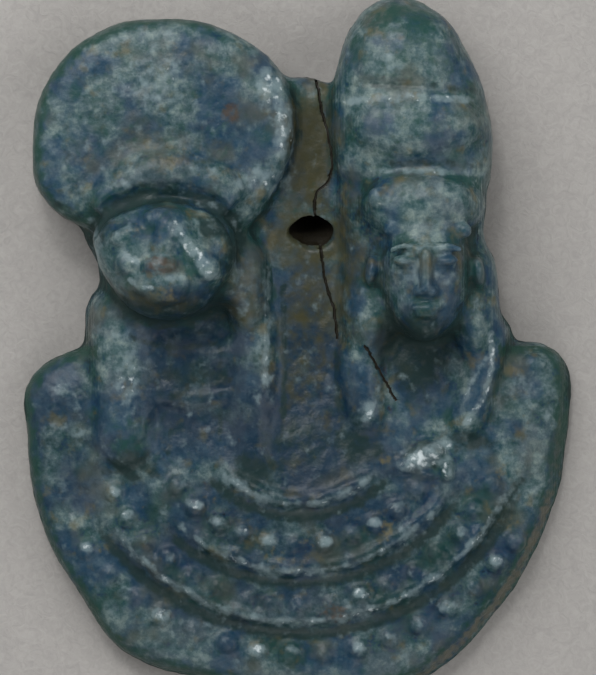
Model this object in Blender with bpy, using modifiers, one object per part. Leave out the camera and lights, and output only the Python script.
"""Double aegis amulet of moulded faience: a lioness under a sun disc and a crowned head, on one broad collar.

The amulet lies on its flat back. +X is to the right of someone who faces it, +Y points to the crown and
+Z points out of the relief. It is one piece, pressed in an open mould, so no form has an undercut:
every form starts at the back plane and is rounded towards the front.
"""

import math

import bmesh
import bpy
from mathutils import Matrix, Vector

MM = 0.001

# Collar: the broad plate, measured from the centre of its arcs. Its carving is in shares of its half-width.
COLLAR_HALF_WIDTH = 12.15 * MM
COLLAR_DROP = 13.6 * MM
COLLAR_THICKNESS = 2.1 * MM
FOOT_THICKNESS = 0.9 * MM

# Web between the two heads, with the suspension hole through it.
WEB_THICKNESS = 2.5 * MM
WEB_HALF_WIDTH = 4.6 * MM
WEB_TOP = 14.3 * MM
HOLE_WIDTH = 2.0 * MM
HOLE_HEIGHT = 1.46 * MM
HOLE_X = 0.55 * MM
HOLE_Y = 7.15 * MM

# Both heads stand out of the mould to the same relief, the height of their noses above the back.
RELIEF = 7.5 * MM

# Lioness: her head's height sets her carving.
LION_HEIGHT = 5.76 * MM
LION_X = -5.94 * MM
LION_Y = 5.85 * MM
DISC_WIDTH = 11.75 * MM
DISC_HEIGHT = 9.9 * MM
DISC_THICKNESS = 4.2 * MM
DISC_X = LION_X - 0.18 * MM
DISC_Y = LION_Y + 6.05 * MM

# Crowned head: the height of the face from hairline to chin sets its carving.
KING_HEIGHT = 6.3 * MM
KING_X = 5.63 * MM
KING_Y = 5.4 * MM

# How finely the forms are fused, and how many triangles the finished solid keeps.
FUSE_GRAIN = 0.2 * MM
FUSE_SMOOTHING = 4
TRIANGLES = 8900

# Collar carving, in shares of the collar's half-width and, for the outline, of its drop. Angles are in
# degrees round the centre of the arcs, from +X.
COLLAR_OUTLINE = (
    (-1.012, 0.030),
    (-1.015, -0.130),
    (-0.958, -0.440),
    (-0.800, -0.695),
    (-0.660, -0.860),
    (-0.390, -0.945),
    (0.030, -1.000),
    (0.420, -0.955),
    (0.715, -0.720),
    (0.905, -0.420),
    (0.983, -0.080),
    (0.978, 0.105),
    (0.905, 0.160),
    (0.740, 0.155),
    (0.300, 0.090),
    (-0.300, 0.090),
    (-0.810, 0.145),
)
COLLAR_ROUND = 0.100
FOOT_SHIFT = (0.022, -0.012)
FOOT_ROUND = 0.35
TERRACE_TOP = 0.25
TERRACE_RUN = 0.60
CORDS = (
    {"radius": 0.880, "step": 0.036, "top": 0.03},
    {"radius": 0.692, "step": 0.034, "top": 0.10},
    {"radius": 0.440, "step": 0.030, "top": 0.30},
)
CORD_THICKNESS = 0.060
CORD_SUNK = 0.012
ARC_STEP = 12
GROOVE_THICKNESS = 0.046
ARC_ENDS = (-162, -16)
BEAD_ROWS = (
    {"radius": 0.980, "pitch": 8.5, "bead": 0.092, "ends": (-150, -38)},
    {"radius": 0.792, "pitch": 9.6, "bead": 0.092, "ends": (-154, -26)},
    {"radius": 0.575, "pitch": 12.5, "bead": 0.086, "ends": (-142, -42)},
)
BEAD_PROUD = 0.034
SHOULDER_BEADS = (
    (0.770, 0.075),
    (0.870, 0.085),
    (0.780, -0.040),
    (0.880, -0.020),
    (-0.900, -0.030),
    (-0.800, 0.020),
    (-0.900, -0.140),
)
KNOB = (0.445, -0.250, 0.230, 0.160, 0.310)

# Outline of the sun disc, in shares of half its width and height, and of the web.
DISC_OUTLINE = (
    (-1.000, -0.260),
    (-0.900, 0.400),
    (-0.500, 0.880),
    (0.060, 1.000),
    (0.640, 0.800),
    (0.960, 0.390),
    (1.000, -0.120),
    (0.830, -0.620),
    (0.570, -0.980),
    (0.000, -1.100),
    (-0.600, -0.900),
    (-0.930, -0.620),
)
DISC_ROUND = 0.40
DISC_DOME = (0.84, 0.83, 0.28)
WEB_ROUND = 0.20
WEB_OUTLINE = (
    (-0.60, 0.90),
    (-0.10, 0.995),
    (0.15, 0.995),
    (0.42, 0.93),
    (0.80, 0.45),
    (0.80, -0.12),
    (-0.80, -0.12),
    (-0.90, 0.30),
)

# Forms of the two heads. Each is x, y, half-width and half-height in shares of the head's height, then its
# top and its depth in shares of the relief, then its turn in degrees.
LION_FORMS = {
    "mane": (-0.010, 0.320, 0.670, 0.450, 0.740, 0.740, 0),
    "skull": (0.000, 0.000, 0.570, 0.535, 0.820, 0.820, 0),
    "forehead": (0.000, 0.280, 0.210, 0.190, 0.885, 0.200, 0),
    "left_eye": (-0.235, 0.225, 0.115, 0.085, 0.890, 0.090, 12),
    "right_eye": (0.225, 0.215, 0.115, 0.085, 0.890, 0.090, -12),
    "left_cheek": (-0.270, 0.000, 0.200, 0.230, 0.880, 0.220, 0),
    "right_cheek": (0.270, 0.000, 0.190, 0.250, 0.895, 0.220, 15),
    "muzzle": (-0.020, -0.110, 0.270, 0.210, 0.965, 0.300, 0),
    "chin": (0.000, -0.300, 0.170, 0.100, 0.900, 0.220, 0),
    "neck": (0.160, -0.760, 0.460, 0.500, 0.440, 0.440, 0),
}
LION_EARS = ((-0.470, 0.300), (0.465, 0.290))
EAR_RING = (0.125, 0.060, 0.700)
EAR_CUP = (0.200, 0.125)
LION_NOSE = (((0.000, 0.330), (-0.030, 0.040), 0.100, 0.985, 0.140),)
LION_WIG_EDGE = (
    (-0.620, 0.230),
    (-0.490, 0.405),
    (-0.270, 0.520),
    (0.010, 0.625),
    (0.290, 0.520),
    (0.490, 0.400),
    (0.610, 0.220),
)
LION_WIG_EDGE_SIZE = (0.240, 0.650)
LION_RECESS = (
    (-0.400, 0.330),
    (-0.230, 0.430),
    (0.010, 0.520),
    (0.240, 0.430),
    (0.400, 0.320),
)
LION_RECESS_SIZE = (0.160, 0.820)
LION_LAPPETS = (
    ((-0.380, -0.330), (-0.270, -1.350), 0.330, 0.510, 0.510),
    ((0.660, -0.330), (0.650, -1.500), 0.245, 0.490, 0.490),
)
LION_NECK_ROLLS = (
    ((-0.150, -0.640), (0.160, -0.730), (0.480, -0.640)),
    ((-0.130, -1.010), (0.170, -1.090), (0.500, -1.000)),
)
LION_NECK_ROLL_SIZE = (0.130, 0.420)

CROWN_OUTLINE = (
    (-0.180, 1.970),
    (0.050, 1.885),
    (0.200, 1.760),
    (0.320, 1.580),
    (0.420, 1.330),
    (0.478, 1.050),
    (0.486, 0.850),
    (0.440, 0.600),
    (0.000, 0.500),
    (-0.560, 0.620),
    (-0.650, 0.850),
    (-0.660, 1.230),
    (-0.600, 1.540),
    (-0.510, 1.780),
    (-0.380, 1.920),
)
CROWN_LEVEL = 0.700
CROWN_ROUND = 0.290
WIG_OUTLINE = (
    (-0.555, 0.705),
    (-0.170, 0.760),
    (0.400, 0.735),
    (0.445, 0.585),
    (0.435, 0.230),
    (0.500, 0.120),
    (0.530, -0.100),
    (0.525, -0.520),
    (0.330, -0.650),
    (-0.455, -0.650),
    (-0.560, -0.480),
    (-0.580, 0.160),
)
WIG_LEVEL = 0.600
WIG_ROUND = 0.230
KING_FORMS = {
    "dome": (-0.090, 1.480, 0.470, 0.480, 0.745, 0.300, 0),
    "band": (-0.065, 1.040, 0.560, 0.300, 0.775, 0.400, 0),
    "hair": (-0.030, 0.480, 0.470, 0.290, 0.835, 0.400, 0),
    "face": (0.000, -0.020, 0.375, 0.500, 0.880, 0.650, 0),
    "left_cheek": (-0.190, -0.120, 0.150, 0.200, 0.895, 0.200, 0),
    "right_cheek": (0.190, -0.120, 0.150, 0.200, 0.895, 0.200, 0),
    "left_eye": (-0.155, 0.080, 0.095, 0.050, 0.925, 0.060, -4),
    "right_eye": (0.155, 0.080, 0.095, 0.050, 0.925, 0.060, 4),
    "left_nostril": (-0.055, -0.145, 0.055, 0.048, 0.950, 0.080, 0),
    "right_nostril": (0.055, -0.145, 0.055, 0.048, 0.950, 0.080, 0),
    "upper_lip": (0.000, -0.250, 0.120, 0.034, 0.945, 0.070, 0),
    "lower_lip": (0.000, -0.305, 0.100, 0.036, 0.940, 0.070, 0),
    "chin": (0.000, -0.420, 0.130, 0.085, 0.910, 0.200, 0),
    "left_ear": (-0.410, 0.000, 0.065, 0.150, 0.740, 0.200, -6),
    "right_ear": (0.410, 0.000, 0.065, 0.150, 0.740, 0.200, 6),
    "neck": (0.000, -0.740, 0.280, 0.420, 0.430, 0.430, 0),
}
KING_NOSE = (((0.000, 0.140), (0.000, -0.120), 0.060, 0.985, 0.120),)
KING_BROWS = (
    ((-0.060, 0.170), (-0.155, 0.195), (-0.265, 0.145)),
    ((0.060, 0.170), (0.155, 0.195), (0.265, 0.145)),
)
KING_BROW_SIZE = (0.055, 0.880)
KING_LAPPETS = (
    ((-0.460, -0.600), (-0.400, -1.080), 0.225, 0.550, 0.550),
    ((0.480, -0.420), (0.300, -1.010), 0.140, 0.550, 0.550),
)
CROWN_GROOVES = (
    ((-0.060, 1.310), (0.160, 1.315), (0.400, 1.290)),
    ((-0.200, 0.775), (0.100, 0.770), (0.420, 0.760)),
)
CROWN_GROOVE_SIZE = (0.050, 0.790)
CURL_ROWS = (
    {"y": 0.600, "pitch": 0.215, "count": 4, "size": 0.092},
    {"y": 0.420, "pitch": 0.165, "count": 5, "size": 0.072},
)
CURL_LEVEL = 0.780

# How square a form's section is: 2 is a true ellipse, and more stands up steeper from the back.
LION_FULLNESS = 2.5
KING_FULLNESS = 2.6
COLLAR_FULLNESS = 2.0

LION_PLACE = Vector((LION_X, LION_Y, 0.0))
KING_PLACE = Vector((KING_X, KING_Y, 0.0))
COLLECTION = bpy.data.collections.new("aegis_amulet")


def clear_scene():
    for old in list(bpy.data.objects):
        bpy.data.objects.remove(old)
    bpy.context.scene.collection.children.link(COLLECTION)


def new_form(name, mesh):
    form = bpy.data.objects.new(name, mesh)
    bpy.context.scene.collection.objects.link(form)
    return form


def sphere_mesh(fullness, rings=16):
    """A ball of radius 1 whose section from back to front is squared by its fullness."""
    mesh = bpy.data.meshes.new("lump")
    ball = bmesh.new()
    bmesh.ops.create_uvsphere(ball, u_segments=32, v_segments=rings, radius=1.0)
    for vertex in ball.verts:
        across = math.hypot(vertex.co.x, vertex.co.y)
        vertex.co /= (across**fullness + abs(vertex.co.z) ** fullness) ** (1 / fullness)
    ball.to_mesh(mesh)
    ball.free()
    return mesh


def lump(centre, radii, fullness, turn=0.0):
    form = new_form("lump", sphere_mesh(fullness))
    form.data.transform(Matrix.LocRotScale(centre, Matrix.Rotation(turn, 3, "Z"), Vector(radii)))
    return form


def finger(start, end, half_width, top, depth, fullness):
    """A ball pulled out between two points of the plan, as a finger of clay, with its top at a height."""
    form = new_form("finger", sphere_mesh(fullness, rings=17))
    run = end - start
    for vertex in form.data.vertices:
        along = math.copysign(run.length / 2, vertex.co.y) if abs(vertex.co.y) > 1e-4 else 0.0
        vertex.co = (vertex.co.x * half_width, vertex.co.y * half_width + along, vertex.co.z * depth)
    place = raised((start + end) / 2, top - depth)
    turn = Matrix.Rotation(math.atan2(run.y, run.x) - math.pi / 2, 4, "Z")
    form.data.transform(Matrix.Translation(place) @ turn)
    return form


def ring(centre, major, minor):
    bpy.ops.mesh.primitive_torus_add(
        major_segments=24, minor_segments=10, major_radius=major, minor_radius=minor, location=centre
    )
    bpy.ops.object.transform_apply(location=True, rotation=True, scale=True)
    return bpy.context.active_object


def as_mesh(curve):
    """A mesh of the curve as it is evaluated, in the curve's place."""
    bpy.context.scene.collection.objects.link(curve)
    bpy.context.view_layer.update()
    graph = bpy.context.evaluated_depsgraph_get()
    mesh = bpy.data.meshes.new_from_object(curve.evaluated_get(graph))
    form = new_form(curve.name, mesh)
    form.matrix_world = curve.matrix_world.copy()
    bpy.data.objects.remove(curve)
    weld = bmesh.new()
    weld.from_mesh(mesh)
    bmesh.ops.remove_doubles(weld, verts=weld.verts, dist=0.001 * MM)
    weld.to_mesh(mesh)
    weld.free()
    return form


def smooth_spline(data, points, cyclic):
    spline = data.splines.new("BEZIER")
    spline.bezier_points.add(len(points) - 1)
    for knot, point in zip(spline.bezier_points, points):
        knot.co = point
        knot.handle_left_type = "AUTO"
        knot.handle_right_type = "AUTO"
    spline.use_cyclic_u = cyclic
    spline.resolution_u = 8


def roll(points, radius):
    """A round roll of clay along a smooth line through the points."""
    data = bpy.data.curves.new("roll", "CURVE")
    data.dimensions = "3D"
    data.bevel_depth = radius
    data.bevel_resolution = 3
    data.use_fill_caps = True
    smooth_spline(data, points, False)
    return as_mesh(bpy.data.objects.new("roll", data))


def slab(points, thickness, rounding):
    """A plate with a rounded front edge whose widest outline is at the back plane."""
    data = bpy.data.curves.new("slab", "CURVE")
    data.dimensions = "2D"
    data.fill_mode = "BOTH"
    data.bevel_depth = rounding
    data.bevel_resolution = 4
    data.extrude = thickness - rounding
    data.offset = -rounding
    smooth_spline(data, [(p.x, p.y, 0.0) for p in points], True)
    return as_mesh(bpy.data.objects.new("slab", data))


def outline(shares, place, half_width, half_height):
    return [place + Vector((x * half_width, y * half_height, 0.0)) for x, y in shares]


def on_arc(radius, degrees):
    angle = math.radians(degrees)
    return Vector((radius * math.cos(angle), radius * math.sin(angle), 0.0))


def raised(point, height):
    return point + Vector((0.0, 0.0, height))


def arc_angles(ends, pitch):
    """Angles from one end of an arc to the other, as near to the pitch as a whole count allows."""
    first, last = ends
    steps = max(1, round((last - first) / pitch))
    return [first + (last - first) * i / steps for i in range(steps + 1)]


def terrace_height(level, y):
    """Height of a terrace's front above the back. It sinks into the plate towards the heads."""
    rise = sum(cord["step"] for cord in CORDS[:level]) * COLLAR_HALF_WIDTH
    share = (TERRACE_TOP - y / COLLAR_DROP) / TERRACE_RUN
    return COLLAR_THICKNESS + rise * min(1.0, max(0.0, share))


def terrace(level, radius, top):
    """Half a disc that stands a step above the one outside it, less so towards the heads."""
    edge = [on_arc(radius, angle) for angle in arc_angles((-180, 0), ARC_STEP)]
    shoulders = [Vector((radius, top, 0.0)), Vector((-radius, top, 0.0))]
    form = slab(edge + shoulders, COLLAR_THICKNESS, CORD_THICKNESS * COLLAR_HALF_WIDTH / 2)
    for vertex in form.data.vertices:
        vertex.co.z *= terrace_height(level, vertex.co.y) / COLLAR_THICKNESS
    return form


def collar_forms():
    half = COLLAR_HALF_WIDTH
    plate = outline(COLLAR_OUTLINE, Vector(), half, COLLAR_DROP)
    foot = [p + Vector((*FOOT_SHIFT, 0.0)) * half for p in plate]
    forms = [slab(plate, COLLAR_THICKNESS, COLLAR_ROUND * half)]
    forms.append(slab(foot, FOOT_THICKNESS, FOOT_ROUND * FOOT_THICKNESS))
    for level, cord in enumerate(CORDS, start=1):
        radius = cord["radius"] * half
        forms.append(terrace(level, radius, cord["top"] * COLLAR_DROP))
        thickness = CORD_THICKNESS * half
        line = [on_arc(radius - thickness / 2, a) for a in arc_angles(ARC_ENDS, ARC_STEP)]
        sunk = CORD_SUNK * half
        forms.append(roll([raised(p, terrace_height(level, p.y) - sunk) for p in line], thickness / 2))
    for level, row in enumerate(BEAD_ROWS):
        for angle in arc_angles(row["ends"], row["pitch"]):
            forms.append(bead(on_arc(row["radius"] * half, angle), row["bead"] * half / 2, level))
    for x, y in SHOULDER_BEADS:
        forms.append(bead(Vector((x, y, 0.0)) * half, BEAD_ROWS[0]["bead"] * half / 2, 0))
    x, y, half_width, half_height, top = KNOB
    size = Vector((half_width, half_height, top)) * half
    forms.append(lump(Vector((x, y, 0.0)) * half, size, COLLAR_FULLNESS))
    return forms


def bead(place, radius, level):
    height = terrace_height(level, place.y) + BEAD_PROUD * COLLAR_HALF_WIDTH
    return lump(raised(place, height - radius), (radius, radius, radius), COLLAR_FULLNESS)


def collar_grooves():
    """The hollows that part each cord from the beads outside it."""
    hollows = []
    thickness = GROOVE_THICKNESS * COLLAR_HALF_WIDTH
    for level, cord in enumerate(CORDS):
        radius = cord["radius"] * COLLAR_HALF_WIDTH + thickness / 2
        line = [on_arc(radius, a) for a in arc_angles(ARC_ENDS, ARC_STEP)]
        hollows.append(roll([raised(p, terrace_height(level, p.y)) for p in line], thickness / 2))
    return hollows


def web_forms():
    web = outline(WEB_OUTLINE, Vector(), WEB_HALF_WIDTH, WEB_TOP)
    return [slab(web, WEB_THICKNESS, WEB_ROUND * WEB_THICKNESS)]


def head_lumps(rows, place, height, fullness):
    forms = []
    for x, y, half_width, half_height, top, depth, turn in rows:
        centre = place + Vector((x * height, y * height, (top - depth) * RELIEF))
        radii = (half_width * height, half_height * height, depth * RELIEF)
        forms.append(lump(centre, radii, fullness, math.radians(turn)))
    return forms


def head_fingers(rows, place, height, fullness):
    forms = []
    for start, end, half_width, top, depth in rows:
        ends = [place + Vector((*point, 0.0)) * height for point in (start, end)]
        forms.append(finger(*ends, half_width * height, top * RELIEF, depth * RELIEF, fullness))
    return forms


def head_rolls(lines, size, place, height):
    """One roll for each line of the plan. Its size is its thickness and the level of its middle."""
    thickness, level = size
    middle = raised(place, level * RELIEF)
    radius = thickness * height / 2
    return [roll([middle + Vector((*p, 0.0)) * height for p in line], radius) for line in lines]


def lion_forms():
    own = (LION_PLACE, LION_HEIGHT)
    disc_place = Vector((DISC_X, DISC_Y, 0.0))
    disc = outline(DISC_OUTLINE, disc_place, DISC_WIDTH / 2, DISC_HEIGHT / 2)
    forms = [slab(disc, DISC_THICKNESS, DISC_ROUND * DISC_THICKNESS)]
    spread, foot, rise = DISC_DOME
    dome = Vector((DISC_WIDTH / 2 * spread, DISC_HEIGHT / 2 * spread, DISC_THICKNESS * rise))
    forms.append(lump(raised(disc_place, DISC_THICKNESS * foot), dome, COLLAR_FULLNESS))
    forms += head_lumps(LION_FORMS.values(), *own, LION_FULLNESS)
    forms += head_fingers((*LION_NOSE, *LION_LAPPETS), *own, LION_FULLNESS)
    forms += head_rolls((LION_WIG_EDGE,), LION_WIG_EDGE_SIZE, *own)
    forms += head_rolls(LION_NECK_ROLLS, LION_NECK_ROLL_SIZE, *own)
    major, minor, level = EAR_RING
    for x, y in LION_EARS:
        middle = LION_PLACE + Vector((x * LION_HEIGHT, y * LION_HEIGHT, level * RELIEF))
        forms.append(ring(middle, major * LION_HEIGHT, minor * LION_HEIGHT))
    return forms


def lion_hollows():
    """The recess under the edge of the wig, and the cups of the ears."""
    own = (LION_PLACE, LION_HEIGHT)
    hollows = head_rolls((LION_RECESS,), LION_RECESS_SIZE, *own)
    major, minor, level = EAR_RING
    for x, y in LION_EARS:
        cup = (x, y, major - minor / 2, major - minor / 2, level + EAR_CUP[0], EAR_CUP[1], 0)
        hollows += head_lumps((cup,), *own, COLLAR_FULLNESS)
    return hollows


def king_forms():
    own = (KING_PLACE, KING_HEIGHT)
    crown = outline(CROWN_OUTLINE, KING_PLACE, KING_HEIGHT, KING_HEIGHT)
    wig = outline(WIG_OUTLINE, KING_PLACE, KING_HEIGHT, KING_HEIGHT)
    forms = [slab(crown, CROWN_LEVEL * RELIEF, CROWN_ROUND * RELIEF)]
    forms.append(slab(wig, WIG_LEVEL * RELIEF, WIG_ROUND * RELIEF))
    forms += head_lumps(KING_FORMS.values(), *own, KING_FULLNESS)
    forms += head_fingers((*KING_NOSE, *KING_LAPPETS), *own, KING_FULLNESS)
    forms += head_rolls(KING_BROWS, KING_BROW_SIZE, *own)
    for row in CURL_ROWS:
        for i in range(row["count"]):
            x = (i - (row["count"] - 1) / 2) * row["pitch"]
            curl = (x, row["y"], row["size"], row["size"], CURL_LEVEL + row["size"], row["size"], 0)
            forms += head_lumps((curl,), *own, COLLAR_FULLNESS)
    return forms


def king_hollows():
    return head_rolls(CROWN_GROOVES, CROWN_GROOVE_SIZE, KING_PLACE, KING_HEIGHT)


def apply_modifier(solid, kind, **settings):
    modifier = solid.modifiers.new(kind.lower(), kind)
    for name, value in settings.items():
        setattr(modifier, name, value)
    bpy.context.view_layer.objects.active = solid
    bpy.ops.object.modifier_apply(modifier=modifier.name)


def cut_below(solid, level):
    """Takes away what is below a level and closes the cut with a flat face."""
    cut = bmesh.new()
    cut.from_mesh(solid.data)
    everything = cut.verts[:] + cut.edges[:] + cut.faces[:]
    made = bmesh.ops.bisect_plane(
        cut, geom=everything, dist=1e-7, plane_co=(0, 0, level), plane_no=(0, 0, 1), clear_inner=True
    )
    rim = [e for e in made["geom_cut"] if isinstance(e, bmesh.types.BMEdge)]
    bmesh.ops.holes_fill(cut, edges=rim)
    bmesh.ops.triangulate(cut, faces=cut.faces)
    bmesh.ops.recalc_face_normals(cut, faces=cut.faces)
    cut.to_mesh(solid.data)
    cut.free()


def fuse(forms):
    """One closed body from all the forms, as soft clay takes them."""
    bpy.ops.object.select_all(action="DESELECT")
    for form in forms:
        form.select_set(True)
    solid = forms[0]
    bpy.context.view_layer.objects.active = solid
    bpy.ops.object.join()
    apply_modifier(solid, "REMESH", mode="VOXEL", voxel_size=FUSE_GRAIN)
    return solid


def subtract(solid, cutter):
    apply_modifier(solid, "BOOLEAN", operation="DIFFERENCE", object=cutter, solver="EXACT")
    bpy.data.objects.remove(cutter)


def hole_drill():
    """A drill for the suspension hole, right through the web from front to back."""
    place = Vector((HOLE_X, HOLE_Y, 0.0))
    bpy.ops.mesh.primitive_cylinder_add(vertices=20, radius=HOLE_WIDTH / 2, depth=2 * RELIEF, location=place)
    drill = bpy.context.active_object
    drill.scale.y = HOLE_HEIGHT / HOLE_WIDTH
    bpy.ops.object.transform_apply(location=True, rotation=True, scale=True)
    return drill


def glazed_faience():
    material = bpy.data.materials.new("glazed_faience")
    material.use_nodes = True
    shader = material.node_tree.nodes["Principled BSDF"]
    shader.inputs["Base Color"].default_value = (0.060, 0.105, 0.120, 1.0)
    shader.inputs["Roughness"].default_value = 0.42
    shader.inputs["Metallic"].default_value = 0.0
    return material


def centre_on_origin(solid):
    """Moves the mesh so that the origin is in the middle of the back."""
    corners = [vertex.co for vertex in solid.data.vertices]
    low = Vector([min(c[i] for c in corners) for i in range(3)])
    high = Vector([max(c[i] for c in corners) for i in range(3)])
    middle = (low + high) / 2
    for vertex in solid.data.vertices:
        vertex.co -= Vector((middle.x, middle.y, low.z))


def make_amulet():
    clear_scene()
    solid = fuse(collar_forms() + web_forms() + lion_forms() + king_forms())
    subtract(solid, fuse(collar_grooves() + lion_hollows() + king_hollows()))
    apply_modifier(solid, "REMESH", mode="VOXEL", voxel_size=FUSE_GRAIN)
    apply_modifier(solid, "SMOOTH", factor=0.5, iterations=FUSE_SMOOTHING)
    cut_below(solid, -2 * FUSE_GRAIN)
    apply_modifier(solid, "DECIMATE", ratio=min(1.0, TRIANGLES / len(solid.data.polygons)))
    cut_below(solid, 0.0)
    subtract(solid, hole_drill())
    centre_on_origin(solid)
    solid.name = "amulet"
    solid.data.name = "amulet"
    solid.data.materials.clear()
    solid.data.materials.append(glazed_faience())
    solid.data.shade_smooth()
    for collection in list(solid.users_collection):
        collection.objects.unlink(solid)
    COLLECTION.objects.link(solid)


make_amulet()
